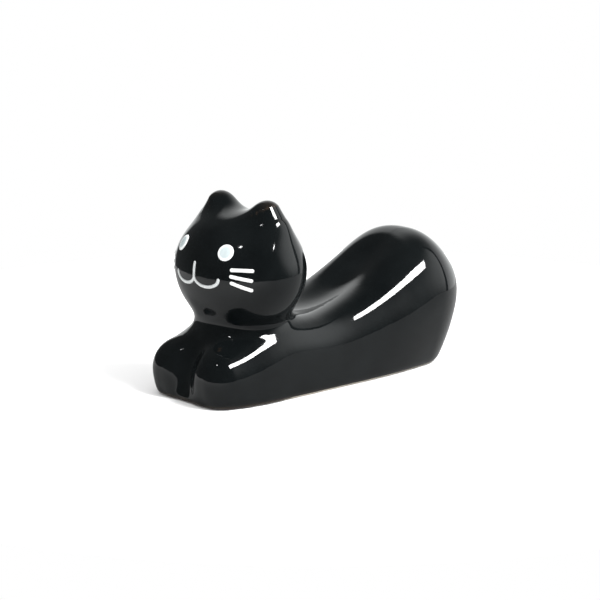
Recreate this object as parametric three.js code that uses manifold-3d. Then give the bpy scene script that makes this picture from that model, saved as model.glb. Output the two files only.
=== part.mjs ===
// A small glazed ceramic rest in the shape of a stretching cat: chopsticks lie across the low back,
// between the raised head and the raised rump.
// Millimetres, +Z up. The cat looks along -Y, its left side is +X, and it stands on z = 0 with the
// origin under the middle of its box.
import * as THREE from 'three';
import { mergeVertices } from 'three/addons/utils/BufferGeometryUtils.js';
import Module from 'manifold-3d';

const wasm = await Module();
wasm.setup();

// ---- driving dimensions -------------------------------------------------------------------------

// Body, as [place along Y, value] stations: height of the back, half width of the sides, rounding of
// the edge between them, how far the sides pull in at the very bottom, and how deep the back dips
// along its middle.
const frontY = -31.5;
const rearY = 30.5;
const backLine = [[-37, 10], [-25.3, 9.9], [-13.6, 12.9], [-5.1, 12.9], [3.4, 15.5], [10.8, 19.8],
  [19.3, 24.1], [26.7, 22.1], [36.2, 22.6]];
const sideLine = [[-32.7, 11.9], [-18.9, 11.3], [-3, 11.2], [12.9, 12.4], [32, 9.5]];
const edgeRounding = [[-31.6, 8.5], [-11.5, 6.5], [4.4, 9.1], [20.3, 13.3], [34.1, 9.1]];
const tuckLine = [[-31.6, 3.2], [-11.5, 0.6], [4.4, 2.1], [20.3, 4.2], [34.1, 3.8]];
const dipLine = [[-11.5, 0], [-1.9, 0.95], [6.5, 1.59], [15, 0.95], [23.5, 0]];
const dipWidth = 4.7;
const tuckHeight = 16.7;
const edgePower = 2.4;
const corner = { paws: 5.7, rump: 11.2, from: -14.1, to: 8.1 };
const groove = { depth: 2.97, topDepth: 1.8, width: 2.33, fadesFrom: -18.4, fadesOver: 11.1 };
const endBlend = 4.5;
const footBlend = 1.8;

// Forelegs: a round cone in each side of the trunk, from the paw back to the shoulder, pulled in a
// little towards its bottom.
const foreleg = {
  paw: [3.5, -21.9, 0.6],
  shoulder: [2.2, -15.8, 6.2],
  pawRadius: 7.1,
  shoulderRadius: 5.2,
  pairBlend: 1.7,
  blend: 1.5,
  tuck: 0.8,
  tuckHeight: 4.5,
};

// Head: an egg with a fuller lower half, two short ears grown out of it, and the neck under it. The
// ears run into each other in a valley rounded over the meeting width.
const skull = { y: -16.6, z: 21.6, halfWidth: 12.8, halfDepth: 9.9, above: 9.1, below: 11.1 };
const ear = {
  base: [7.8, -15.5, 29.6],
  tip: [6.5, -15.7, 31.6],
  baseRadius: 1.12,
  tipRadius: 1.45,
  blend: 9.9,
  meeting: 1.6,
};
const neck = { base: [0, -19.3, -3], top: [0, -14.9, 18.6], baseRadius: 11.4, topRadius: 6.5 };
const chestBlend = 4.2;
const chinBlend = 3.5;

// Bare clay foot, and the seam of slip that joins the head to the body.
const footHeight = 0.75;
const footInset = 0.5;
const seam = { y: -14, z: 14.0, tilt: THREE.MathUtils.degToRad(6), height: 0.9, gap: 0.3, behind: 9 };

// Overglaze enamel: raised marks on the face, placed by x and z as seen from the front.
const enamel = { gap: 0.08, height: 0.27, strokeRadius: 0.31, mouthStrokeRadius: 0.28 };
const eye = { x: 5.6, z: 25.8, radius: 1.45 };
const mouth = {
  topZ: 23.5,
  jointZ: 21.3,
  halfWidth: 2.65,
  depth: 1.5,
  sweep: THREE.MathUtils.degToRad(178),
};
const whisker = {
  perSide: 3,
  leftX: 8.9,
  rightX: -9.8,
  topZ: 23.2,
  spacing: 1.38,
  fan: THREE.MathUtils.degToRad(9),
  length: 3.5,
};

// Mesh spacing.
const bodyCell = 1.7;
const faceCell = 1.15;

// ---- the cat as a distance-like field, negative inside ------------------------------------------

const clamp = THREE.MathUtils.clamp;
const smoothstep = (t) => t * t * (3 - 2 * t);

function smoothMin(a, b, size) {
  const h = Math.max(size - Math.abs(a - b), 0) / size;
  return Math.min(a, b) - (h * h * h * size) / 6;
}

function smoothMax(a, b, size) {
  return -smoothMin(-a, -b, size);
}

// Natural cubic spline through the stations, held level past its ends. The function that it
// returns gives [value, slope].
function stationCurve(stations) {
  const at = stations.map((s) => s[0]);
  const value = stations.map((s) => s[1]);
  const last = at.length - 1;
  const bend = new Array(at.length).fill(0);
  const upper = new Array(at.length).fill(0);
  for (let i = 1; i < last; i++) {
    const before = at[i] - at[i - 1];
    const after = at[i + 1] - at[i];
    const pivot = 2 * (before + after) - before * upper[i - 1];
    const turn = (value[i + 1] - value[i]) / after - (value[i] - value[i - 1]) / before;
    upper[i] = after / pivot;
    bend[i] = (6 * turn - before * bend[i - 1]) / pivot;
  }
  for (let i = last - 1; i > 0; i--) {
    bend[i] -= upper[i] * bend[i + 1];
  }
  return (place) => {
    const x = clamp(place, at[0], at[last]);
    let i = 0;
    while (i < last - 1 && x > at[i + 1]) {
      i += 1;
    }
    const h = at[i + 1] - at[i];
    const a = at[i + 1] - x;
    const b = x - at[i];
    const left = value[i] / h - (bend[i] * h) / 6;
    const right = value[i + 1] / h - (bend[i + 1] * h) / 6;
    const height = (bend[i] * a ** 3 + bend[i + 1] * b ** 3) / (6 * h) + left * a + right * b;
    const slope = (bend[i + 1] * b * b - bend[i] * a * a) / (2 * h) - left + right;
    return [height, slope];
  };
}

const backAt = stationCurve(backLine);
const sideAt = stationCurve(sideLine);
const roundingAt = stationCurve(edgeRounding);
const tuckAt = stationCurve(tuckLine);
const dipAt = stationCurve(dipLine);

// Two walls that meet in a rounded edge.
function roundedEdge(a, b, radius, power) {
  const u = Math.max(a + radius, 0);
  const v = Math.max(b + radius, 0);
  const inside = Math.min(Math.max(a + radius, b + radius), 0);
  return (u ** power + v ** power + 1e-9) ** (1 / power) - radius + inside;
}

// Outline seen from above: the two sides, the rounded ends, and the groove between the paws.
function outline(x, y) {
  const [halfWidth, slope] = sideAt(y);
  const dent = groove.depth * Math.exp(-((x / groove.width) ** 2));
  const along = clamp((y - corner.from) / (corner.to - corner.from), 0, 1);
  const radius = corner.paws + (corner.rump - corner.paws) * smoothstep(along);
  const side = (Math.abs(x) - halfWidth) / Math.hypot(1, slope);
  const end = smoothMax(frontY + dent - y, y - rearY, endBlend);
  return roundedEdge(side, end, radius, 2);
}

function ellipsoid(x, y, z, half) {
  const near = Math.hypot(x / half[0], y / half[1], z / half[2]);
  const far = Math.hypot(x / half[0] ** 2, y / half[1] ** 2, z / half[2] ** 2);
  return (near * (near - 1)) / Math.max(far, 1e-9);
}

// Round cone: a ball at each end of an axis and the cone that touches both.
function roundCone(x, y, z, cone) {
  const axis = cone.to.map((v, i) => v - cone.from[i]);
  const length = Math.hypot(...axis);
  const rel = [x - cone.from[0], y - cone.from[1], z - cone.from[2]];
  const along = (rel[0] * axis[0] + rel[1] * axis[1] + rel[2] * axis[2]) / length;
  const aside = Math.sqrt(Math.max(rel[0] ** 2 + rel[1] ** 2 + rel[2] ** 2 - along ** 2, 0));
  const sine = (cone.fromRadius - cone.toRadius) / length;
  const t = clamp((along + (aside * sine) / Math.sqrt(1 - sine * sine)) / length, 0, 1);
  return Math.hypot(along - t * length, aside) - cone.fromRadius + (cone.fromRadius - cone.toRadius) * t;
}

const earCone = { from: ear.base, to: ear.tip, fromRadius: ear.baseRadius, toRadius: ear.tipRadius };
const legCone = {
  from: foreleg.paw,
  to: foreleg.shoulder,
  fromRadius: foreleg.pawRadius,
  toRadius: foreleg.shoulderRadius,
};
const neckCone = { from: neck.base, to: neck.top, fromRadius: neck.baseRadius, toRadius: neck.topRadius };

function headField(x, y, z) {
  const up = z - skull.z;
  const half = [skull.halfWidth, skull.halfDepth, up > 0 ? skull.above : skull.below];
  const ears = roundCone(Math.hypot(x, ear.meeting), y, z, earCone);
  return smoothMin(ellipsoid(x, y - skull.y, up, half), ears, ear.blend);
}

function bodyField(x, y, z) {
  const [back, slope] = backAt(y);
  const forward = smoothstep(clamp((groove.fadesFrom - y) / groove.fadesOver, 0, 1));
  const valley = groove.topDepth * forward * Math.exp(-((x / groove.width) ** 2));
  const dip = dipAt(y)[0] * Math.exp(-((x / dipWidth) ** 2));
  const top = (z - back + valley + dip) / Math.hypot(1, slope);
  const side = outline(x, y) + tuckAt(y)[0] * Math.max(1 - z / tuckHeight, 0) ** 2;
  const trunk = roundedEdge(top, side, roundingAt(y)[0], edgePower);
  const legs = smoothMin(roundCone(x, y, z, legCone), roundCone(-x, y, z, legCone), foreleg.pairBlend);
  const furrow = groove.depth * forward * Math.exp(-((x / groove.width) ** 2));
  const legTuck = foreleg.tuck * Math.max(1 - z / foreleg.tuckHeight, 0) ** 2;
  const legged = smoothMin(trunk, legs + furrow + legTuck, foreleg.blend);
  const joined = smoothMin(legged, roundCone(x, y, z, neckCone), chestBlend);
  return smoothMax(joined, -z, footBlend);
}

function catField(x, y, z) {
  return smoothMin(headField(x, y, z), bodyField(x, y, z), chinBlend);
}

// ---- meshing ------------------------------------------------------------------------------------

// Closed mesh of field = 0 inside the box, by dual contouring on a cubic grid: one vertex per cell
// that the surface crosses, moved onto the surface along the field's gradient.
function contour(field, low, high, cell) {
  const count = low.map((v, i) => Math.ceil((high[i] - v) / cell) + 1);
  const place = (i, axis) => low[axis] + i * cell;
  const index = (i, j, k) => (k * count[1] + j) * count[0] + i;
  const value = new Float64Array(count[0] * count[1] * count[2]);
  for (let k = 0; k < count[2]; k++) {
    for (let j = 0; j < count[1]; j++) {
      for (let i = 0; i < count[0]; i++) {
        value[index(i, j, k)] = field(place(i, 0), place(j, 1), place(k, 2));
      }
    }
  }
  const vertexOf = new Int32Array(value.length).fill(-1);
  const vertices = [];
  const settle = (p) => {
    const step = 0.01;
    for (let pass = 0; pass < 4; pass++) {
      const f = field(...p);
      const g = [0, 1, 2].map((axis) => {
        const q = [...p];
        q[axis] += step;
        return (field(...q) - f) / step;
      });
      const size = g[0] ** 2 + g[1] ** 2 + g[2] ** 2;
      const move = clamp(f / Math.max(size, 0.05), -cell / 3, cell / 3);
      p.forEach((_, axis) => {
        p[axis] -= g[axis] * move;
      });
    }
  };
  const edges = [];
  for (let corner = 0; corner < 8; corner++) {
    for (let axis = 0; axis < 3; axis++) {
      if (!(corner & (1 << axis))) {
        edges.push([corner, corner | (1 << axis)]);
      }
    }
  }
  const cornerAt = (i, j, k, corner) => [
    i + (corner & 1),
    j + ((corner >> 1) & 1),
    k + ((corner >> 2) & 1),
  ];
  for (let k = 0; k < count[2] - 1; k++) {
    for (let j = 0; j < count[1] - 1; j++) {
      for (let i = 0; i < count[0] - 1; i++) {
        const sum = [0, 0, 0];
        let crossings = 0;
        for (const [from, to] of edges) {
          const a = cornerAt(i, j, k, from);
          const b = cornerAt(i, j, k, to);
          const fa = value[index(...a)];
          const fb = value[index(...b)];
          if (fa < 0 !== fb < 0) {
            const t = fa / (fa - fb);
            for (let axis = 0; axis < 3; axis++) {
              sum[axis] += place(a[axis] + (b[axis] - a[axis]) * t, axis);
            }
            crossings += 1;
          }
        }
        if (crossings > 0) {
          const p = sum.map((v) => v / crossings);
          settle(p);
          vertexOf[index(i, j, k)] = vertices.length / 3;
          vertices.push(...p);
        }
      }
    }
  }
  const triangles = [];
  const distance = (a, b) => Math.hypot(...[0, 1, 2].map((n) => vertices[3 * a + n] - vertices[3 * b + n]));
  const addQuad = (a, b, c, d, flip) => {
    const ring = flip ? [a, d, c, b] : [a, b, c, d];
    if (distance(ring[0], ring[2]) < distance(ring[1], ring[3])) {
      triangles.push(ring[0], ring[1], ring[2], ring[0], ring[2], ring[3]);
    } else {
      triangles.push(ring[0], ring[1], ring[3], ring[1], ring[2], ring[3]);
    }
  };
  for (let axis = 0; axis < 3; axis++) {
    const u = (axis + 1) % 3;
    const v = (axis + 2) % 3;
    for (let k = 1; k < count[2] - 1; k++) {
      for (let j = 1; j < count[1] - 1; j++) {
        for (let i = 1; i < count[0] - 1; i++) {
          const at = [i, j, k];
          const next = [...at];
          next[axis] += 1;
          const inside = value[index(...at)] < 0;
          if (inside === value[index(...next)] < 0) {
            continue;
          }
          const shifted = (du, dv) => {
            const c = [...at];
            c[u] -= du;
            c[v] -= dv;
            return vertexOf[index(...c)];
          };
          addQuad(shifted(1, 1), shifted(0, 1), shifted(0, 0), shifted(1, 0), !inside);
        }
      }
    }
  }
  return solid(vertices, triangles);
}

// ---- solids -------------------------------------------------------------------------------------

function solid(vertices, triangles) {
  return new wasm.Manifold(new wasm.Mesh({
    numProp: 3,
    vertProperties: new Float32Array(vertices),
    triVerts: new Uint32Array(triangles),
  }));
}

function solidOf(geometry) {
  const bare = geometry.index ? geometry : geometry.clone();
  bare.deleteAttribute('normal');
  bare.deleteAttribute('uv');
  const merged = mergeVertices(bare, 1e-4);
  return solid(merged.attributes.position.array, merged.index.array);
}

function geometryOf(shape) {
  const { numProp, vertProperties, triVerts } = shape.getMesh();
  const position = new Float32Array((vertProperties.length / numProp) * 3);
  for (let i = 0; i < position.length / 3; i++) {
    for (let axis = 0; axis < 3; axis++) {
      position[3 * i + axis] = vertProperties[numProp * i + axis];
    }
  }
  const geometry = new THREE.BufferGeometry();
  geometry.setAttribute('position', new THREE.BufferAttribute(position, 3));
  geometry.setIndex(new THREE.BufferAttribute(new Uint32Array(triVerts), 1));
  geometry.computeVertexNormals();
  return geometry;
}

// Box given by its lowest and highest corners, placed by a matrix.
function block(low, high, matrix = new THREE.Matrix4()) {
  const size = low.map((v, i) => high[i] - v);
  const middle = low.map((v, i) => (high[i] + v) / 2);
  const geometry = new THREE.BoxGeometry(...size);
  geometry.translate(...middle);
  geometry.applyMatrix4(matrix);
  return solidOf(geometry);
}

// ---- moulded pieces -----------------------------------------------------------------------------

const far = 50;
const low = [-15.5, -33, -2];
const high = [15.5, 33, 36];
const cat = contour(catField, low, high, bodyCell)
  .subtract(block([-far, -far, -far], [far, far, footHeight]));

// The head is moulded apart and luted to the body along a plane that drops towards the chin.
const seamPlane = new THREE.Matrix4()
  .makeTranslation(0, seam.y, seam.z)
  .multiply(new THREE.Matrix4().makeRotationX(seam.tilt));
const seamSlab = (from, to) => block([-20, -25, from], [20, seam.behind, to], seamPlane);
const slip = seam.height / 2;
const torso = cat.subtract(seamSlab(-slip - seam.gap, far));
const head = cat.intersect(seamSlab(slip + seam.gap, far));
const neckSeam = cat.intersect(seamSlab(-slip, slip));

// Bare clay foot that the cat stands on, a little inside the glazed outline.
const footField = (x, y, z) => Math.max(outline(x, y) + tuckAt(y)[0] + footInset, Math.abs(z) - 5);
const foot = contour(footField, [-16, -33, -8], [16, 33, 8], bodyCell)
  .intersect(block([-far, -far, 0], [far, far, footHeight]));

// ---- enamel marks -------------------------------------------------------------------------------

const faceLow = [-15, -28, 8];
const faceHigh = [15, -4, 36];
const lifted = (lift) => contour((x, y, z) => headField(x, y, z) - lift, faceLow, faceHigh, faceCell);
const enamelSkin = lifted(enamel.gap + enamel.height).subtract(lifted(enamel.gap));

// Point of the head's surface seen from the front at (x, z), with the surface's own directions:
// right and upward along it, and out of it.
function onFace(x, z) {
  let y = faceLow[1];
  for (let pass = 0; pass < 80; pass++) {
    y += headField(x, y, z) * 0.8;
  }
  const step = 0.01;
  const at = headField(x, y, z);
  const out = new THREE.Vector3(
    headField(x + step, y, z) - at,
    headField(x, y + step, z) - at,
    headField(x, y, z + step) - at,
  ).normalize();
  const right = new THREE.Vector3(0, 0, 1).cross(out).normalize();
  const upward = out.clone().cross(right);
  return new THREE.Matrix4().makeBasis(right, upward, out).setPosition(x, y, z);
}

// Prism of the given outline, standing on the face at (x, z) and cut down to the enamel skin.
function stamp(shape, x, z) {
  const geometry = new THREE.ExtrudeGeometry(shape, { depth: 5, bevelEnabled: false, curveSegments: 12 });
  geometry.translate(0, 0, -2.5);
  geometry.applyMatrix4(onFace(x, z));
  return enamelSkin.intersect(solidOf(geometry));
}

// Outline of a brush stroke of even width with round ends, along a list of points.
function strokeShape(points, radius) {
  const capSteps = 6;
  const rim = [];
  const walk = (line) => {
    line.forEach((p, i) => {
      const before = line[Math.max(i - 1, 0)];
      const after = line[Math.min(i + 1, line.length - 1)];
      const along = after.clone().sub(before).normalize();
      rim.push(new THREE.Vector2(p.x + along.y * radius, p.y - along.x * radius));
    });
    const end = line[line.length - 1];
    const heading = end.clone().sub(line[line.length - 2]).angle();
    for (let i = 1; i < capSteps; i++) {
      const turn = heading - Math.PI / 2 + (Math.PI * i) / capSteps;
      rim.push(new THREE.Vector2(end.x + radius * Math.cos(turn), end.y + radius * Math.sin(turn)));
    }
  };
  walk(points);
  walk([...points].reverse());
  return new THREE.Shape(rim);
}

// The mouth is a short upright line under the nose that opens into two curves, each dropping from
// the joint and turning up at its end.
function mouthMark() {
  const middleZ = mouth.jointZ;
  const upright = [new THREE.Vector2(0, mouth.topZ - middleZ), new THREE.Vector2(0, 0)];
  let mark = stamp(strokeShape(upright, enamel.mouthStrokeRadius), 0, middleZ);
  const steps = 12;
  for (const side of [-1, 1]) {
    const curve = [];
    for (let i = 0; i <= steps; i++) {
      const turn = Math.PI + (mouth.sweep * i) / steps;
      const across = side * mouth.halfWidth * (1 + Math.cos(turn));
      curve.push(new THREE.Vector2(across, mouth.depth * Math.sin(turn)));
    }
    mark = mark.add(stamp(strokeShape(curve, enamel.mouthStrokeRadius), 0, middleZ));
  }
  return mark;
}

function eyeMark(side) {
  const disc = new THREE.Shape();
  disc.absarc(0, 0, eye.radius, 0, 2 * Math.PI);
  return stamp(disc, side * eye.x, eye.z);
}

// Whiskers fan out from level to drooping, one under the other; those on the cat's right sit a
// little further out.
function whiskerMark(side, row) {
  const droop = -whisker.fan * row;
  const reach = whisker.length / 2;
  const tip = new THREE.Vector2(side * reach * Math.cos(droop), reach * Math.sin(droop));
  const stroke = strokeShape([tip.clone().negate(), tip], enamel.strokeRadius);
  const x = side > 0 ? whisker.leftX : whisker.rightX;
  return stamp(stroke, x, whisker.topZ - whisker.spacing * row);
}

// ---- the object ---------------------------------------------------------------------------------

const glaze = { color: 0x0b0d0e, roughness: 0.06, metalness: 0 };
const bareClay = { color: 0xb9b2a6, roughness: 0.85, metalness: 0 };
const whiteEnamel = { color: 0xdfe4e4, roughness: 0.25, metalness: 0 };

const group = new THREE.Group();

function addPiece(name, shape, finish) {
  const piece = new THREE.Mesh(geometryOf(shape), new THREE.MeshStandardMaterial(finish));
  piece.name = name;
  group.add(piece);
}

addPiece('torso', torso, glaze);
addPiece('head', head, glaze);
addPiece('neck_seam', neckSeam, glaze);
addPiece('foot', foot, bareClay);
addPiece('mouth', mouthMark(), whiteEnamel);
for (const [sideName, side] of [['left', 1], ['right', -1]]) {
  addPiece(`eye_${sideName}`, eyeMark(side), whiteEnamel);
  for (let row = 0; row < whisker.perSide; row++) {
    addPiece(`whisker_${sideName}_${row + 1}`, whiskerMark(side, row), whiteEnamel);
  }
}

export default group;
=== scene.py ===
"""A glossy black cat-shaped chopstick rest: fine surfaces, glaze, bare clay and enamel marks."""
import math

import bmesh
import bpy
import numpy as np
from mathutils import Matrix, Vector


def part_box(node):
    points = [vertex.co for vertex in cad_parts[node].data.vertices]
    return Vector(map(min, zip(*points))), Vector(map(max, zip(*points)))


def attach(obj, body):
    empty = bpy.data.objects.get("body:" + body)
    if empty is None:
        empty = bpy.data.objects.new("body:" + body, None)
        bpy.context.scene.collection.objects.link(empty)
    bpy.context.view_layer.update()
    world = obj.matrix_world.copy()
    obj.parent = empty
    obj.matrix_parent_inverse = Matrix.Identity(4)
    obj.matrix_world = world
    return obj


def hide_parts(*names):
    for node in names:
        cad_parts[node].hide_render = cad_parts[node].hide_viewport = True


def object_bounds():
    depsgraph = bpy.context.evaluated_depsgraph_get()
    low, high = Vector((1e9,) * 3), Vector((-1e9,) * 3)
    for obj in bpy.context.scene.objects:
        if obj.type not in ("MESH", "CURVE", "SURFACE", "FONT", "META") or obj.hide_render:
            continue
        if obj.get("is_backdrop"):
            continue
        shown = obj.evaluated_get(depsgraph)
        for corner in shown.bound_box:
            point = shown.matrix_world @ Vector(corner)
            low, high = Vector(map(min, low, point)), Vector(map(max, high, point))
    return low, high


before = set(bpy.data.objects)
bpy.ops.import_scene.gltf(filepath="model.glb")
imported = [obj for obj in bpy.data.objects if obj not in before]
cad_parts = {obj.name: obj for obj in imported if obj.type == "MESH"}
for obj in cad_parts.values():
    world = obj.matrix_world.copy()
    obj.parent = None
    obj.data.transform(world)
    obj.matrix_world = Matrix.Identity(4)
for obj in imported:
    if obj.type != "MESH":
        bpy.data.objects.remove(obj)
CAD_LOW, CAD_HIGH = (np.array(corner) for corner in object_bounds())

# The shape is worked in design millimetres, in which the cat is 60 long, and scaled to the frame.
DESIGN_LENGTH = 60.0
UNIT = float(CAD_HIGH[1] - CAD_LOW[1]) / DESIGN_LENGTH
FOOT_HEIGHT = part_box("foot")[1].z / UNIT
# How far the glaze runs down over the foot, and the height that it ends at.
GLAZE_RUN = 0.4
GLAZE_EDGE = FOOT_HEIGHT - GLAZE_RUN

# ---- driving dimensions, in design millimetres --------------------------------------------------

# Body, as stations along Y: height of the back, half width of the sides, rounding of the edge
# between them, how far the sides pull in at the very bottom, and how deep the back dips along its
# middle.
FRONT_Y = -31.5
REAR_Y = 30.5
BACK_LINE = ((-37, 10), (-25.3, 9.9), (-13.6, 12.9), (-5.1, 12.9), (3.4, 15.5), (10.8, 19.8),
             (19.3, 24.1), (26.7, 22.1), (36.2, 22.6))
SIDE_LINE = ((-32.7, 11.9), (-18.9, 11.3), (-3, 11.2), (12.9, 12.4), (32, 9.5))
EDGE_ROUNDING = ((-31.6, 8.5), (-11.5, 6.5), (4.4, 9.1), (20.3, 13.3), (34.1, 9.1))
TUCK_LINE = ((-31.6, 3.2), (-11.5, 0.6), (4.4, 2.1), (20.3, 4.2), (34.1, 3.8))
DIP_LINE = ((-11.5, 0), (-1.9, 0.95), (6.5, 1.59), (15, 0.95), (23.5, 0))
DIP_WIDTH = 4.7
TUCK_HEIGHT = 16.7
EDGE_POWER = 2.4
CORNER_PAWS, CORNER_RUMP, CORNER_FROM, CORNER_TO = 5.7, 11.2, -14.1, 8.1
GROOVE_DEPTH, GROOVE_TOP, GROOVE_WIDTH = 2.97, 1.8, 2.33
GROOVE_FADES_FROM, GROOVE_FADES_OVER = -18.4, 11.1
END_BLEND = 4.5
FOOT_BLEND = 1.8

# Forelegs: a round cone in each side of the trunk, from the paw back to the shoulder, pulled in a
# little towards its bottom.
PAW, SHOULDER = (3.5, -21.9, 0.6), (2.2, -15.8, 6.2)
PAW_RADIUS, SHOULDER_RADIUS = 7.1, 5.2
LEG_PAIR_BLEND, LEG_BLEND = 1.7, 1.5
LEG_TUCK, LEG_TUCK_HEIGHT = 0.8, 4.5

# Head: an egg with a fuller lower half, two short ears grown out of it, and the neck under it. The
# ears run into each other in a valley rounded over the meeting width.
SKULL = (0.0, -16.6, 21.6)
SKULL_WIDTH, SKULL_DEPTH, SKULL_ABOVE, SKULL_BELOW = 12.8, 9.9, 9.1, 11.1
EAR_BASE, EAR_TIP = (7.8, -15.5, 29.6), (6.5, -15.7, 31.6)
EAR_BASE_RADIUS, EAR_TIP_RADIUS, EAR_BLEND = 1.12, 1.45, 9.9
EAR_MEETING = 1.6
NECK_BASE, NECK_TOP = (0.0, -19.3, -3), (0.0, -14.9, 18.6)
NECK_BASE_RADIUS, NECK_TOP_RADIUS = 11.4, 6.5
CHEST_BLEND = 4.2
CHIN_BLEND = 3.5

# Joint between head and body: a tilted slab of this half height, as far back as SEAM_BEHIND.
SEAM_Y, SEAM_Z, SEAM_TILT = -14.0, 14.0, math.radians(6)
SEAM_HALF = 0.6
SEAM_BEHIND = -5.0

# Bare foot: its inset from the glazed outline, and its eased lower edge as inset and height.
FOOT_INSET = 0.5
FOOT_EASING = ((0.30, 0.0), (0.10, 0.06), (0.0, 0.22))
FOOT_CLEARANCE = 0.002

# Enamel marks, placed by x and z as seen from the front. Each is a dome that falls to nothing at its
# edge; the higher its flatness, the more level it is inside.
STROKE_RADIUS = 0.31
MOUTH_STROKE_RADIUS = 0.28
EYE_X, EYE_Z, EYE_RADIUS = 5.6, 25.8, 1.45
MOUTH_TOP_Z, MOUTH_JOINT_Z, MOUTH_HALF, MOUTH_DEPTH = 23.5, 21.3, 2.65, 1.5
MOUTH_SWEEP = math.radians(178)
WHISKERS, WHISKER_TOP_Z, WHISKER_SPACING = 3, 23.2, 1.38
WHISKER_X = {"left": 8.9, "right": 9.8}
WHISKER_FAN, WHISKER_LENGTH = math.radians(9), 3.5
ENAMEL_DOME = 0.16
ENAMEL_SINK = 0.03
STROKE_FLATNESS, EYE_FLATNESS = 2, 5

# The glaze starts to run thin where the surface curves this sharply (1/mm), and is fully thin after
# this much more.
THIN_FROM, THIN_OVER = 0.45, 0.9

# Mesh spacing, and how near the field's zero a vertex has to be to count as on the surface.
SURFACE_CELL = 0.4
ON_SURFACE = 0.04

# ---- the cat as a distance-like field, negative inside ------------------------------------------


def smooth_min(a, b, size):
    h = np.clip(size - np.abs(a - b), 0, None) / size
    return np.minimum(a, b) - h ** 3 * size / 6


def smooth_max(a, b, size):
    return -smooth_min(-a, -b, size)


def smoothstep(t):
    t = np.clip(t, 0, 1)
    return t * t * (3 - 2 * t)


def station_curve(stations):
    """Natural cubic spline through the stations, held level past its ends: a function that gives
    the value and the slope at y."""
    at, value = np.array(stations, float).T
    step = np.diff(at)
    count = len(at)
    system, turns = np.eye(count), np.zeros(count)
    for i in range(1, count - 1):
        system[i, i - 1:i + 2] = step[i - 1], 2 * (step[i - 1] + step[i]), step[i]
        turns[i] = 6 * ((value[i + 1] - value[i]) / step[i] - (value[i] - value[i - 1]) / step[i - 1])
    bend = np.linalg.solve(system, turns)

    def curve(y):
        y = np.clip(y, at[0], at[-1])
        i = np.clip(np.searchsorted(at, y) - 1, 0, count - 2)
        h, a, b = step[i], at[i + 1] - y, y - at[i]
        left = value[i] / h - bend[i] * h / 6
        right = value[i + 1] / h - bend[i + 1] * h / 6
        height = (bend[i] * a ** 3 + bend[i + 1] * b ** 3) / (6 * h) + left * a + right * b
        slope = (bend[i + 1] * b ** 2 - bend[i] * a ** 2) / (2 * h) - left + right
        return height, slope

    return curve


back_at = station_curve(BACK_LINE)
side_at = station_curve(SIDE_LINE)
rounding_at = station_curve(EDGE_ROUNDING)
tuck_at = station_curve(TUCK_LINE)
dip_at = station_curve(DIP_LINE)


def rounded_edge(a, b, radius, power):
    """Two walls that meet in a rounded edge."""
    u, v = np.clip(a + radius, 0, None), np.clip(b + radius, 0, None)
    inside = np.minimum(np.maximum(a + radius, b + radius), 0)
    return (u ** power + v ** power + 1e-9) ** (1 / power) - radius + inside


def outline(x, y):
    """Seen from above: the two sides, the rounded ends, and the groove between the paws."""
    half, slope = side_at(y)
    dent = GROOVE_DEPTH * np.exp(-(x / GROOVE_WIDTH) ** 2)
    along = smoothstep((y - CORNER_FROM) / (CORNER_TO - CORNER_FROM))
    radius = CORNER_PAWS + (CORNER_RUMP - CORNER_PAWS) * along
    side = (np.abs(x) - half) / np.hypot(1, slope)
    end = smooth_max(FRONT_Y + dent - y, y - REAR_Y, END_BLEND)
    return rounded_edge(side, end, radius, 2)


def ellipsoid(x, y, z, half):
    near = np.sqrt((x / half[0]) ** 2 + (y / half[1]) ** 2 + (z / half[2]) ** 2)
    far = np.sqrt((x / half[0] ** 2) ** 2 + (y / half[1] ** 2) ** 2 + (z / half[2] ** 2) ** 2)
    return near * (near - 1) / np.maximum(far, 1e-9)


def round_cone(x, y, z, start, end, start_radius, end_radius):
    """A ball at each end of an axis and the cone that touches both."""
    axis = np.subtract(end, start)
    length = np.linalg.norm(axis)
    dx, dy, dz = x - start[0], y - start[1], z - start[2]
    along = (dx * axis[0] + dy * axis[1] + dz * axis[2]) / length
    aside = np.sqrt(np.clip(dx ** 2 + dy ** 2 + dz ** 2 - along ** 2, 0, None))
    sine = (start_radius - end_radius) / length
    t = np.clip((along + aside * sine / math.sqrt(1 - sine * sine)) / length, 0, 1)
    return np.hypot(along - t * length, aside) - start_radius + (start_radius - end_radius) * t


def head_field(x, y, z):
    up = z - SKULL[2]
    half = (SKULL_WIDTH, SKULL_DEPTH, np.where(up > 0, SKULL_ABOVE, SKULL_BELOW))
    egg = ellipsoid(x, y - SKULL[1], up, half)
    ear = round_cone(np.hypot(x, EAR_MEETING), y, z, EAR_BASE, EAR_TIP, EAR_BASE_RADIUS, EAR_TIP_RADIUS)
    return smooth_min(egg, ear, EAR_BLEND)


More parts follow.
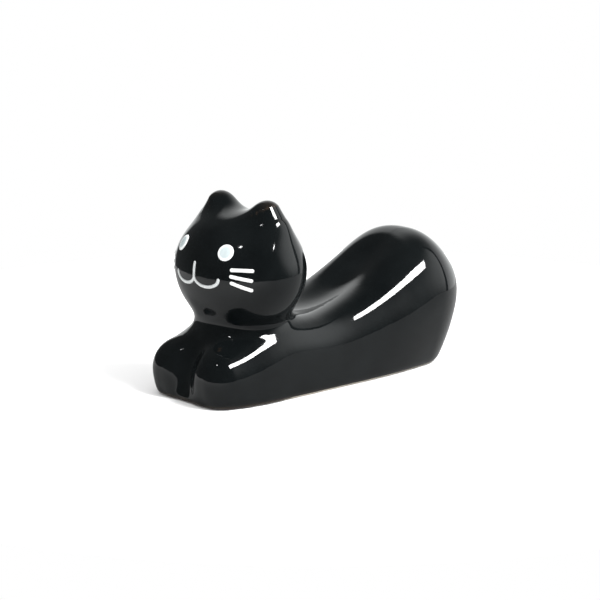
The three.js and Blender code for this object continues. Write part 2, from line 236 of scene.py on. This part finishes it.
def body_field(x, y, z):
    back, slope = back_at(y)
    forward = smoothstep((GROOVE_FADES_FROM - y) / GROOVE_FADES_OVER)
    valley = GROOVE_TOP * forward * np.exp(-(x / GROOVE_WIDTH) ** 2)
    dip = dip_at(y)[0] * np.exp(-(x / DIP_WIDTH) ** 2)
    top = (z - back + valley + dip) / np.hypot(1, slope)
    side = outline(x, y) + tuck_at(y)[0] * np.clip(1 - z / TUCK_HEIGHT, 0, None) ** 2
    trunk = rounded_edge(top, side, rounding_at(y)[0], EDGE_POWER)
    legs = [round_cone(side * x, y, z, PAW, SHOULDER, PAW_RADIUS, SHOULDER_RADIUS) for side in (1, -1)]
    furrow = GROOVE_DEPTH * forward * np.exp(-(x / GROOVE_WIDTH) ** 2)
    leg_tuck = LEG_TUCK * np.clip(1 - z / LEG_TUCK_HEIGHT, 0, None) ** 2
    legs = smooth_min(*legs, LEG_PAIR_BLEND) + furrow + leg_tuck
    trunk = smooth_min(trunk, legs, LEG_BLEND)
    throat = round_cone(x, y, z, NECK_BASE, NECK_TOP, NECK_BASE_RADIUS, NECK_TOP_RADIUS)
    return smooth_max(smooth_min(trunk, throat, CHEST_BLEND), -z, FOOT_BLEND)


def cat_field(x, y, z):
    return smooth_min(head_field(x, y, z), body_field(x, y, z), CHIN_BLEND)


def gradient(field, points, step=0.01):
    """Unit normals of the field at the points, and the length of its gradient."""
    columns = []
    for axis in range(3):
        shift = np.zeros(3)
        shift[axis] = step
        columns.append((field(*(points + shift).T) - field(*(points - shift).T)) / (2 * step))
    slopes = np.stack(columns, axis=1)
    size = np.linalg.norm(slopes, axis=1, keepdims=True)
    return slopes / np.maximum(size, 1e-9), size[:, 0]


def settle(field, points, passes=4, limit=0.2):
    """Moves the points onto the surface, along the field's gradient."""
    for _ in range(passes):
        normal, size = gradient(field, points)
        move = np.clip(field(*points.T) / np.maximum(size, 0.2), -limit, limit)
        points = points - normal * move[:, None]
    return points


# ---- meshing ------------------------------------------------------------------------------------

CUBE_CORNERS = np.array([(i & 1, i >> 1 & 1, i >> 2 & 1) for i in range(8)])
CUBE_EDGES = [(a, a | 1 << axis) for a in range(8) for axis in range(3) if not a & 1 << axis]


def contour(field, low, high, cell):
    """Closed quad mesh of field = 0 inside a box, by dual contouring on a cubic grid."""
    low = np.array(low, float)
    count = np.ceil((np.array(high) - low) / cell).astype(int) + 1
    axes = [low[i] + cell * np.arange(count[i]) for i in range(3)]
    value = np.empty(count)
    for i, x in enumerate(axes[0]):
        y, z = np.meshgrid(axes[1], axes[2], indexing="ij")
        value[i] = field(np.full(y.shape, x), y, z)
    inside = value < 0
    cells = count - 1

    def corner(grid, c):
        i, j, k = CUBE_CORNERS[c]
        return grid[i:i + cells[0], j:j + cells[1], k:k + cells[2]]

    total = sum(corner(inside, c).astype(int) for c in range(8))
    crossed = (total > 0) & (total < 8)
    index = np.full(cells, -1)
    index[crossed] = np.arange(crossed.sum())
    place = np.argwhere(crossed).astype(float)
    at_corner = [corner(value, c)[crossed] for c in range(8)]
    summed, hits = np.zeros_like(place), np.zeros(len(place))
    for a, b in CUBE_EDGES:
        fa, fb = at_corner[a], at_corner[b]
        cut = (fa < 0) != (fb < 0)
        t = np.where(cut, fa / np.where(cut, fa - fb, 1), 0)[:, None]
        point = CUBE_CORNERS[a] + (CUBE_CORNERS[b] - CUBE_CORNERS[a]) * t
        summed += point * cut[:, None]
        hits += cut
    points = low + cell * (place + summed / hits[:, None])
    points = settle(field, points, limit=cell / 3)
    quads = []
    for axis in range(3):
        u, v = (axis + 1) % 3, (axis + 2) % 3
        first = [slice(1, n) for n in cells]
        second = list(first)
        first[axis], second[axis] = slice(0, cells[axis]), slice(1, cells[axis] + 1)
        here, there = inside[tuple(first)], inside[tuple(second)]
        for flip, chosen in ((False, here & ~there), (True, ~here & there)):
            at = np.argwhere(chosen)
            at[:, u] += 1
            at[:, v] += 1
            ring = []
            for du, dv in ((1, 1), (0, 1), (0, 0), (1, 0)):
                shifted = at.copy()
                shifted[:, u] -= du
                shifted[:, v] -= dv
                ring.append(index[tuple(shifted.T)])
            ring = np.stack(ring, axis=1)
            quads.append(ring[:, ::-1] if flip else ring)
    return points, np.concatenate(quads)


def new_mesh(name, points, faces):
    """Mesh from points in design millimetres."""
    mesh = bpy.data.meshes.new(name)
    mesh.from_pydata((np.asarray(points) * UNIT).tolist(), [], [list(map(int, f)) for f in faces])
    mesh.validate()
    return mesh


def set_normals(mesh, field):
    """Gives the faces that lie on the surface the field's own normals, and leaves cut faces flat."""
    count = len(mesh.vertices)
    points = np.empty(count * 3)
    mesh.vertices.foreach_get("co", points)
    points = points.reshape(-1, 3) / UNIT
    smooth = gradient(field, points)[0]
    on_surface = np.abs(field(*points.T)) < ON_SURFACE
    loops = np.empty(len(mesh.loops), int)
    mesh.loops.foreach_get("vertex_index", loops)
    normals = smooth[loops]
    for face in mesh.polygons:
        face.use_smooth = True
        ring = list(face.loop_indices)
        flat = np.array(face.normal)
        middle = smooth[loops[ring]].mean(axis=0)
        if not on_surface[loops[ring]].all() or middle @ flat < 0.7:
            normals[ring] = flat
    mesh.normals_split_custom_set(normals.tolist())


def add_piece(name, mesh, material, slot, *nodes):
    """Object that rides with the cat and stands for the given CAD nodes."""
    piece = bpy.data.objects.new(name, mesh)
    bpy.context.scene.collection.objects.link(piece)
    mesh.materials.clear()
    mesh.materials.append(material)
    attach(piece, "root")
    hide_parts(*nodes)
    return piece


# ---- glazed pieces and foot ---------------------------------------------------------------------

SEAM_AXIS = Vector((0, -math.sin(SEAM_TILT), math.cos(SEAM_TILT)))
SEAM_POINT = Vector((0, SEAM_Y, SEAM_Z)) * UNIT


def above_seam(point):
    """Height over the middle of the seam, along its tilted axis."""
    return (Vector(point) - SEAM_POINT).dot(SEAM_AXIS)


def cut(bm, point, axis, faces):
    """Splits the given faces along a plane."""
    edges = {edge for face in faces for edge in face.edges}
    verts = {vert for face in faces for vert in face.verts}
    bmesh.ops.bisect_plane(bm, geom=[*verts, *edges, *faces], plane_co=point, plane_no=axis, dist=1e-9)


def split_glazed_surface():
    """The whole glazed surface, cut into head, seam and torso, each left open at its cuts."""
    points, quads = contour(cat_field, (-15, -33, -2), (15, 33, 36), SURFACE_CELL)
    whole = bmesh.new()
    whole.from_mesh(new_mesh("whole", points, quads))
    for height in (SEAM_HALF, -SEAM_HALF):
        neck_faces = [f for f in whole.faces if f.calc_center_median().y < SEAM_BEHIND * UNIT]
        cut(whole, SEAM_POINT + SEAM_AXIS * height * UNIT, SEAM_AXIS, neck_faces)
    cut(whole, Vector((0, 0, GLAZE_EDGE * UNIT)), Vector((0, 0, 1)), list(whole.faces))
    regions = {"head": [], "neck_seam": [], "torso": []}
    for face in whole.faces:
        centre = face.calc_center_median()
        height = above_seam(centre)
        if centre.z < GLAZE_EDGE * UNIT:
            continue
        if centre.y > SEAM_BEHIND * UNIT or height < -SEAM_HALF * UNIT:
            regions["torso"].append(face)
        elif height > SEAM_HALF * UNIT:
            regions["head"].append(face)
        else:
            regions["neck_seam"].append(face)
    whole.verts.index_update()
    meshes = {}
    for name, faces in regions.items():
        kept = {vert.index: tuple(vert.co) for face in faces for vert in face.verts}
        order = {index: i for i, index in enumerate(kept)}
        rings = [[order[vert.index] for vert in face.verts] for face in faces]
        meshes[name] = bpy.data.meshes.new(name)
        meshes[name].from_pydata(list(kept.values()), [], rings)
    whole.free()
    return meshes


def rim_loops(bm):
    """Open borders of the mesh, as lists of vertices in order."""
    edges = {e for e in bm.edges if e.is_boundary}
    loops = []
    while edges:
        edge = edges.pop()
        ring = [edge.verts[0], edge.verts[1]]
        while True:
            step = next((e for e in ring[-1].link_edges if e in edges), None)
            if step is None:
                break
            edges.discard(step)
            ring.append(step.other_vert(ring[-1]))
        loops.append(ring[:-1] if ring[0] is ring[-1] else ring)
    return loops


def close_rims(mesh):
    """Closes each open border with a flat face."""
    bm = bmesh.new()
    bm.from_mesh(mesh)
    for ring in rim_loops(bm):
        bm.faces.new(ring)
    bmesh.ops.recalc_face_normals(bm, faces=bm.faces)
    bm.to_mesh(mesh)
    bm.free()


def wall_between(bm, lower, upper):
    """Band of faces between two rings of vertices."""
    for i in range(len(lower)):
        j = (i + 1) % len(lower)
        bm.faces.new((lower[i], lower[j], upper[j], upper[i]))


def foot_outline(count=240):
    """Border of the bare foot, worked inwards from a larger oval."""
    turns = np.arange(count) * 2 * math.pi / count
    points = np.stack([9 * np.cos(turns), 24 * np.sin(turns)], axis=1)

    def excess(x, y):
        return outline(x, y) + tuck_at(y)[0] + FOOT_INSET

    for _ in range(60):
        step = 0.01
        here = excess(*points.T)
        slope = np.stack([excess(points[:, 0] + step, points[:, 1]) - here,
                          excess(points[:, 0], points[:, 1] + step) - here], axis=1) / step
        points -= slope * np.clip(here / (slope ** 2).sum(axis=1), -0.5, 0.5)[:, None]
    return points


def make_foot(material):
    """Bare clay slab that the cat stands on, with an eased lower edge."""
    border = foot_outline()
    outward = border - np.roll(border, 1, axis=0)
    outward = np.stack([outward[:, 1], -outward[:, 0]], axis=1)
    outward /= np.linalg.norm(outward, axis=1, keepdims=True)
    bm = bmesh.new()
    rings = []
    for inset, z in (*FOOT_EASING, (0.0, GLAZE_EDGE - FOOT_CLEARANCE)):
        ring = border - outward * inset
        rings.append([bm.verts.new(Vector((x, y, z)) * UNIT) for x, y in ring])
    for lower, upper in zip(rings, rings[1:]):
        wall_between(bm, lower, upper)
    bm.faces.new(rings[0])
    bm.faces.new(rings[-1])
    bmesh.ops.recalc_face_normals(bm, faces=bm.faces)
    mesh = bpy.data.meshes.new("bare_foot")
    bm.to_mesh(mesh)
    bm.free()
    return add_piece("bare_foot", mesh, material, "bare_clay", "foot")


# ---- enamel -------------------------------------------------------------------------------------


def face_basis(x, z):
    """Point of the head seen from the front at (x, z), with the directions right, up and out."""
    point = np.array([[x, -40.0, z]])
    for _ in range(80):
        point[:, 1] += head_field(*point.T) * 0.8
    out = gradient(head_field, point)[0][0]
    right = np.cross((0, 0, 1), out)
    right /= np.linalg.norm(right)
    return point[0], right, np.cross(out, right), out


def drop_on_head(points, direction):
    """Moves the points along a fixed direction until they lie on the head."""
    for _ in range(12):
        normal, size = gradient(head_field, points)
        rate = (normal @ direction) * size
        points = points - (head_field(*points.T) / np.maximum(rate, 0.2))[:, None] * direction
    return points


def stroke_mesh(name, path, radius, dome, flatness, x, z):
    """Raised brush stroke with round ends along a path in the face's own right and up, laid on the
    head at (x, z). Each point keeps how near it is to the stroke's edge, from 0 to 1."""
    path = np.array(path, float)
    leg = np.linalg.norm(np.diff(path, axis=0), axis=1)
    travelled = np.concatenate([[0], np.cumsum(leg)])
    length = travelled[-1]
    cap = radius * (1 - np.cos(np.linspace(0, math.pi / 2, 8)))
    middle = np.linspace(0, length, max(int(length / 0.12), 2) + 1)
    along = np.concatenate([cap - radius, middle[1:-1], (length + radius - cap)[::-1]])
    inner = np.clip(along, 0, length)
    spine = np.stack([np.interp(inner, travelled, path[:, i]) for i in range(2)], axis=1)
    ahead = np.clip(inner + 0.02, 0, length)
    behind = np.clip(inner - 0.02, 0, length)
    heading = np.stack([np.interp(ahead, travelled, path[:, i]) - np.interp(behind, travelled, path[:, i])
                        for i in range(2)], axis=1)
    heading /= np.linalg.norm(heading, axis=1, keepdims=True)
    over = along - inner
    spine += heading * over[:, None]
    half = np.sqrt(np.clip(radius ** 2 - over ** 2, 0, None))
    across = np.cos(np.linspace(math.pi, 0, 13))
    side = np.stack([-heading[:, 1], heading[:, 0]], axis=1)
    flat = spine[:, None] + side[:, None] * (half[:, None] * across)[..., None]
    away = np.sqrt(over[:, None] ** 2 + (half[:, None] * across) ** 2) / radius
    height = dome * np.sqrt(np.clip(1 - away ** flatness, 0, None))
    origin, right, upward, out = face_basis(x, z)
    points = origin + flat[..., :1] * right + flat[..., 1:] * upward
    rows, columns = height.shape
    points = drop_on_head(points.reshape(-1, 3), out)
    normal = gradient(head_field, points)[0]
    rim = height.ravel() < 1e-6
    top = points + normal * height.reshape(-1, 1)
    to_edge = np.tile(away.ravel(), 2)
    bottom = points - normal * np.where(rim, 0, ENAMEL_SINK)[:, None]
    faces = []
    for i in range(rows - 1):
        for j in range(columns - 1):
            a = i * columns + j
            quad = (a, a + 1, a + columns + 1, a + columns)
            faces.append(quad)
            faces.append(tuple(rows * columns + k for k in reversed(quad)))
    mesh = new_mesh(name, np.concatenate([top, bottom]), faces)
    mesh.attributes.new("to_edge", "FLOAT", "POINT").data.foreach_set("value", to_edge.astype(np.float32))
    bm = bmesh.new()
    bm.from_mesh(mesh)
    bmesh.ops.remove_doubles(bm, verts=bm.verts, dist=1e-3 * UNIT)
    bmesh.ops.dissolve_degenerate(bm, edges=bm.edges, dist=1e-3 * UNIT)
    bmesh.ops.recalc_face_normals(bm, faces=bm.faces)
    for edge in bm.edges:
        edge.smooth = not edge.is_manifold or edge.calc_face_angle(0) < math.radians(60)
    for face in bm.faces:
        face.smooth = True
    bm.to_mesh(mesh)
    bm.free()
    return mesh


def join_meshes(name, meshes):
    """One mesh of them all."""
    bm = bmesh.new()
    for mesh in meshes:
        bm.from_mesh(mesh)
    joined = bpy.data.meshes.new(name)
    bm.to_mesh(joined)
    bm.free()
    return joined


def make_face(whisker_white, mouth_white, eye_white):
    """Eyes, whiskers and mouth."""
    for side, side_name in ((1, "left"), (-1, "right")):
        eye = stroke_mesh("eye", [(-0.001, 0), (0.001, 0)], EYE_RADIUS, ENAMEL_DOME, EYE_FLATNESS,
                          side * EYE_X, EYE_Z)
        add_piece(f"enamel_eye_{side_name}", eye, eye_white, "eye_enamel", f"eye_{side_name}")
        for row in range(WHISKERS):
            droop = -WHISKER_FAN * row
            tip = np.array([side * math.cos(droop), math.sin(droop)]) * WHISKER_LENGTH / 2
            mesh = stroke_mesh("whisker", [-tip, tip], STROKE_RADIUS, ENAMEL_DOME, STROKE_FLATNESS,
                               side * WHISKER_X[side_name], WHISKER_TOP_Z - WHISKER_SPACING * row)
            add_piece(f"enamel_whisker_{side_name}_{row + 1}", mesh, whisker_white, "white_enamel",
                      f"whisker_{side_name}_{row + 1}")
    paths = [[(0, MOUTH_TOP_Z - MOUTH_JOINT_Z), (0, 0)]]
    for side in (1, -1):
        turns = math.pi + MOUTH_SWEEP * np.linspace(0, 1, 40)
        across = side * MOUTH_HALF * (1 + np.cos(turns))
        paths.append(np.stack([across, MOUTH_DEPTH * np.sin(turns)], axis=1))
    strokes = [stroke_mesh("stroke", path, MOUTH_STROKE_RADIUS, ENAMEL_DOME, STROKE_FLATNESS,
                           0, MOUTH_JOINT_Z) for path in paths]
    add_piece("enamel_mouth", join_meshes("mouth", strokes), mouth_white, "white_enamel", "mouth")


# ---- materials ----------------------------------------------------------------------------------


class Shader:
    """Node tree of one principled material."""

    def __init__(self, name):
        self.material = bpy.data.materials.new(name)
        self.material.use_nodes = True
        self.nodes = self.material.node_tree.nodes
        self.links = self.material.node_tree.links
        self.base = next(n for n in self.nodes if n.type == "BSDF_PRINCIPLED")
        self.place = self.nodes.new("ShaderNodeTexCoord").outputs["Object"]

    def put(self, **values):
        for name, value in values.items():
            self.base.inputs[name.replace("_", " ")].default_value = value

    def link(self, source, target):
        self.links.new(source, self.base.inputs[target] if isinstance(target, str) else target)

    def noise(self, size, detail=3.0, roughness=0.5):
        node = self.nodes.new("ShaderNodeTexNoise")
        node.inputs["Scale"].default_value = 1 / size
        node.inputs["Detail"].default_value = detail
        node.inputs["Roughness"].default_value = roughness
        self.links.new(self.place, node.inputs["Vector"])
        return node.outputs["Fac"]

    def ramp(self, source, *stops):
        """Colours or grey levels at places from 0 to 1."""
        node = self.nodes.new("ShaderNodeValToRGB")
        spots = node.color_ramp.elements
        while len(spots) < len(stops):
            spots.new(0.5)
        for spot, (place, colour) in zip(spots, stops):
            spot.position = place
            spot.color = (*colour, 1) if isinstance(colour, tuple) else (colour, colour, colour, 1)
        self.links.new(source, node.inputs["Fac"])
        return node.outputs["Color"]

    def mix(self, factor, first, second):
        node = self.nodes.new("ShaderNodeMix")
        node.data_type = "RGBA"
        self.links.new(factor, node.inputs[0])
        for socket, value in ((node.inputs[6], first), (node.inputs[7], second)):
            if isinstance(value, tuple):
                socket.default_value = (*value, 1)
            else:
                self.links.new(value, socket)
        return node.outputs[2]

    def attribute(self, name):
        node = self.nodes.new("ShaderNodeAttribute")
        node.attribute_name = name
        return node.outputs["Fac"]

    def bump(self, height, depth, strength):
        node = self.nodes.new("ShaderNodeBump")
        node.inputs["Distance"].default_value = depth
        node.inputs["Strength"].default_value = strength
        self.links.new(height, node.inputs["Height"])
        self.link(node.outputs["Normal"], "Normal")


def glaze_material():
    """Black glaze: deep and mirror-like, a little brown where it runs thin over sharp edges."""
    shader = Shader("black_glaze")
    cloud = shader.noise(0.006, 4)
    depth = shader.ramp(cloud, (0.3, (0.0022, 0.0030, 0.0033)), (0.7, (0.0046, 0.0058, 0.0062)))
    thin = shader.ramp(shader.attribute("thin"), (0.0, 0.0), (1.0, 1.0))
    shader.link(shader.mix(thin, depth, (0.022, 0.016, 0.012)), "Base Color")
    shader.link(shader.ramp(shader.noise(0.003, 5), (0.3, 0.03), (0.75, 0.075)), "Roughness")
    shader.put(IOR=1.38)
    shader.bump(shader.noise(0.0016, 2), 0.00004, 0.35)
    return shader.material


def clay_material():
    """Unglazed clay: warm pale grey, finely speckled and rough."""
    shader = Shader("bare_clay")
    grain = shader.noise(0.0006, 6, 0.7)
    shader.link(shader.ramp(grain, (0.3, (0.42, 0.38, 0.32)), (0.7, (0.66, 0.62, 0.55))), "Base Color")
    shader.link(shader.ramp(shader.noise(0.001, 3), (0.2, 0.75), (0.8, 0.95)), "Roughness")
    shader.bump(shader.noise(0.0004, 5), 0.00005, 0.6)
    return shader.material


def enamel_material(name, middle, rim):
    """Satin white enamel, brushed on: a little uneven, and built up to the second tone at its rim."""
    shader = Shader(name)
    cloud = shader.ramp(shader.noise(0.0012, 4), (0.3, 0.86), (0.7, 1.0))
    rise = shader.ramp(shader.attribute("to_edge"), (0.62, 0.0), (0.80, 1.0))
    tone = shader.nodes.new("ShaderNodeVectorMath")
    tone.operation = "MULTIPLY"
    shader.link(cloud, tone.inputs[0])
    shader.link(shader.mix(rise, middle, rim), tone.inputs[1])
    shader.link(tone.outputs[0], "Base Color")
    shader.link(shader.ramp(shader.noise(0.0008, 3), (0.2, 0.22), (0.8, 0.4)), "Roughness")
    shader.bump(shader.noise(0.0005, 3), 0.00002, 0.4)
    return shader.material


# ---- the cat ------------------------------------------------------------------------------------


def mark_thin_glaze(mesh):
    """Stores how sharply the surface curves at each vertex: the glaze runs thin over sharp edges."""
    points = np.empty(len(mesh.vertices) * 3)
    mesh.vertices.foreach_get("co", points)
    points = points.reshape(-1, 3) / UNIT
    bend = np.zeros(len(points))
    reach = 0.15
    for axis in range(3):
        shift = np.zeros(3)
        shift[axis] = reach
        ahead = gradient(cat_field, points + shift)[0][:, axis]
        behind = gradient(cat_field, points - shift)[0][:, axis]
        bend += (ahead - behind) / (2 * reach)
    thin = mesh.attributes.new("thin", "FLOAT", "POINT")
    thin.data.foreach_set("value", smoothstep((bend - THIN_FROM) / THIN_OVER).astype(np.float32))


def make_glazed_pieces(glaze):
    for name, mesh in split_glazed_surface().items():
        close_rims(mesh)
        mark_thin_glaze(mesh)
        set_normals(mesh, cat_field)
        add_piece(f"glazed_{name}", mesh, glaze, "black_glaze", name)


make_glazed_pieces(glaze_material())
make_foot(clay_material())
make_face(enamel_material("whisker_enamel", (0.84, 0.85, 0.84), (0.70, 0.71, 0.70)),
          enamel_material("mouth_enamel", (0.58, 0.60, 0.60), (0.46, 0.48, 0.48)),
          enamel_material("eye_enamel", (0.50, 0.57, 0.58), (0.86, 0.88, 0.88)))

# ---- studio, in metres --------------------------------------------------------------------------

FLOOR_RADIUS = 0.105
# What the glaze mirrors: painted shade on the floor, the grey that gloss sees of it ahead of the cat and
# beside it while the floor itself is pale, the y where the one fades into the other, the dim room all
# round, and how bright the glow is.
GLOSS_SHADED_FLOOR_AHEAD, GLOSS_SHADED_FLOOR_BESIDE = 0.60, 0.30
MIRROR_FADE_FROM, MIRROR_FADE_TO = -0.075, -0.020
SURROUND = 0.09
GLOW = 1.8

CAMERA_LENS = 171
CAMERA_AZIMUTH, CAMERA_ELEVATION = 49.78, 12.88
CAMERA_DISTANCE = 484.3 * UNIT
LOOKED_AT = Vector((3.47, -6.4, 14.8)) * UNIT
LIT_POINT = Vector((0, 0, 14)) * UNIT


def at_angle(azimuth, elevation, distance):
    """Place at a distance from the cat: azimuth 0 is straight ahead of it, 90 at its left side."""
    turn, rise = math.radians(azimuth), math.radians(elevation)
    heading = Vector((math.sin(turn) * math.cos(rise), -math.cos(turn) * math.cos(rise), math.sin(rise)))
    return heading * distance


def aim(item, place, target):
    """Puts a lamp or camera at a place, looking at the target."""
    item.location = place
    item.rotation_euler = (target - place).to_track_quat("-Z", "Y").to_euler()


def area_light(name, azimuth, elevation, distance, width, height, power, seen_in_gloss=True):
    lamp = bpy.data.lights.new(name, "AREA")
    lamp.shape = "RECTANGLE"
    lamp.size, lamp.size_y = width, height
    lamp.energy = power
    item = bpy.data.objects.new(name, lamp)
    bpy.context.scene.collection.objects.link(item)
    aim(item, LIT_POINT + at_angle(azimuth, elevation, distance), LIT_POINT)
    item.visible_glossy = seen_in_gloss
    item.visible_camera = False


def make_floor():
    """Pale floor. What the glaze mirrors of it is painted shade: its colour in gloss is painted darker,
    more so beside the cat than ahead of it.
    """
    shader = Shader("pale_floor")
    pale = shader.ramp(shader.noise(0.02, 3), (0.3, 0.93), (0.7, 0.95))
    split = shader.nodes.new("ShaderNodeSeparateXYZ")
    shader.link(shader.place, split.inputs[0])
    beside = shader.nodes.new("ShaderNodeMapRange")
    beside.interpolation_type = "SMOOTHSTEP"
    beside.inputs["From Min"].default_value = MIRROR_FADE_FROM
    beside.inputs["From Max"].default_value = MIRROR_FADE_TO
    shader.link(split.outputs["Y"], beside.inputs["Value"])
    # Painted shade: the floor's colour as the glaze mirrors it is darkened to these greys, darkest beside
    # the cat; the camera sees the pale floor.
    mirrored = shader.ramp(beside.outputs["Result"], (0.0, GLOSS_SHADED_FLOOR_AHEAD), (1.0, GLOSS_SHADED_FLOOR_BESIDE))
    paths = shader.nodes.new("ShaderNodeLightPath")
    shader.link(shader.mix(paths.outputs["Is Glossy Ray"], pale, mirrored), "Base Color")
    shader.link(shader.ramp(shader.noise(0.01, 2), (0.2, 0.8), (0.8, 0.9)), "Roughness")
    shader.put(Specular_IOR_Level=0.1)
    bm = bmesh.new()
    bmesh.ops.create_circle(bm, cap_ends=True, segments=128, radius=FLOOR_RADIUS)
    mesh = bpy.data.meshes.new("floor")
    bm.to_mesh(mesh)
    bm.free()
    mesh.materials.append(shader.material)
    floor = bpy.data.objects.new("floor", mesh)
    bpy.context.scene.collection.objects.link(floor)
    floor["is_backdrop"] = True


def make_world():
    """White where the camera sees it. What the glaze mirrors is a dim room, with a pale wall behind
    the cat that fades upwards, and a glow between that wall and the cat's left."""
    world = bpy.data.worlds.new("studio")
    world.use_nodes = True
    bpy.context.scene.world = world
    nodes, links = world.node_tree.nodes, world.node_tree.links
    nodes.clear()
    direction = nodes.new("ShaderNodeTexCoord").outputs["Generated"]

    def towards(azimuth, elevation, low, high):
        """0 to 1 as the direction turns to the given one, between two cosines."""
        dot = nodes.new("ShaderNodeVectorMath")
        dot.operation = "DOT_PRODUCT"
        dot.inputs[1].default_value = at_angle(azimuth, elevation, 1)
        links.new(direction, dot.inputs[0])
        fade = nodes.new("ShaderNodeMapRange")
        fade.interpolation_type = "SMOOTHSTEP"
        fade.inputs["From Min"].default_value = low
        fade.inputs["From Max"].default_value = high
        links.new(dot.outputs["Value"], fade.inputs["Value"])
        return fade.outputs["Result"]

    def combine(operation, first, second):
        node = nodes.new("ShaderNodeMath")
        node.operation = operation
        for socket, value in zip(node.inputs, (first, second)):
            if isinstance(value, float):
                socket.default_value = value
            else:
                links.new(value, socket)
        return node.outputs[0]

    wall = combine("MULTIPLY", towards(162, 0, -0.06, 0.06), towards(260, 0, -0.03, 0.02))
    wall = combine("MULTIPLY", wall, towards(0, -90, -1.0, -0.50))
    glow = towards(150, 25, 0.62, 1.0)
    glow = combine("MULTIPLY", combine("MULTIPLY", glow, glow), towards(70, 0, -0.03, 0.01))
    glow = combine("MULTIPLY", glow, GLOW)
    level = combine("ADD", wall, glow)
    level = combine("ADD", level, SURROUND)
    paths = nodes.new("ShaderNodeLightPath")
    plain, mirrored = nodes.new("ShaderNodeBackground"), nodes.new("ShaderNodeBackground")
    plain.inputs["Color"].default_value = (1, 1, 1, 1)
    plain.inputs["Strength"].default_value = 1.0
    mirrored.inputs["Color"].default_value = (0.98, 1.0, 1.0, 1)
    links.new(level, mirrored.inputs["Strength"])
    blend = nodes.new("ShaderNodeMixShader")
    output = nodes.new("ShaderNodeOutputWorld")
    links.new(paths.outputs["Is Glossy Ray"], blend.inputs[0])
    links.new(plain.outputs[0], blend.inputs[1])
    links.new(mirrored.outputs[0], blend.inputs[2])
    links.new(blend.outputs[0], output.inputs["Surface"])


make_floor()
make_world()
# Name, azimuth and elevation in degrees, distance, width, height, power in watts.
area_light("overhead", 0, 90, 0.9, 1.2, 1.2, 1.5, seen_in_gloss=False)
area_light("softbox", 104.5, 48.5, 0.6, 0.19, 0.13, 5)
area_light("lamp", 3, 56, 0.6, 0.030, 0.030, 0.16)

camera_data = bpy.data.cameras.new("camera")
camera_data.sensor_width = 36
camera_data.lens = CAMERA_LENS
camera_data.clip_start = 0.01
camera = bpy.data.objects.new("camera", camera_data)
bpy.context.scene.collection.objects.link(camera)
aim(camera, LOOKED_AT + at_angle(CAMERA_AZIMUTH, CAMERA_ELEVATION, CAMERA_DISTANCE), LOOKED_AT)
bpy.context.scene.camera = camera
bpy.context.scene.view_settings.view_transform = "Standard"
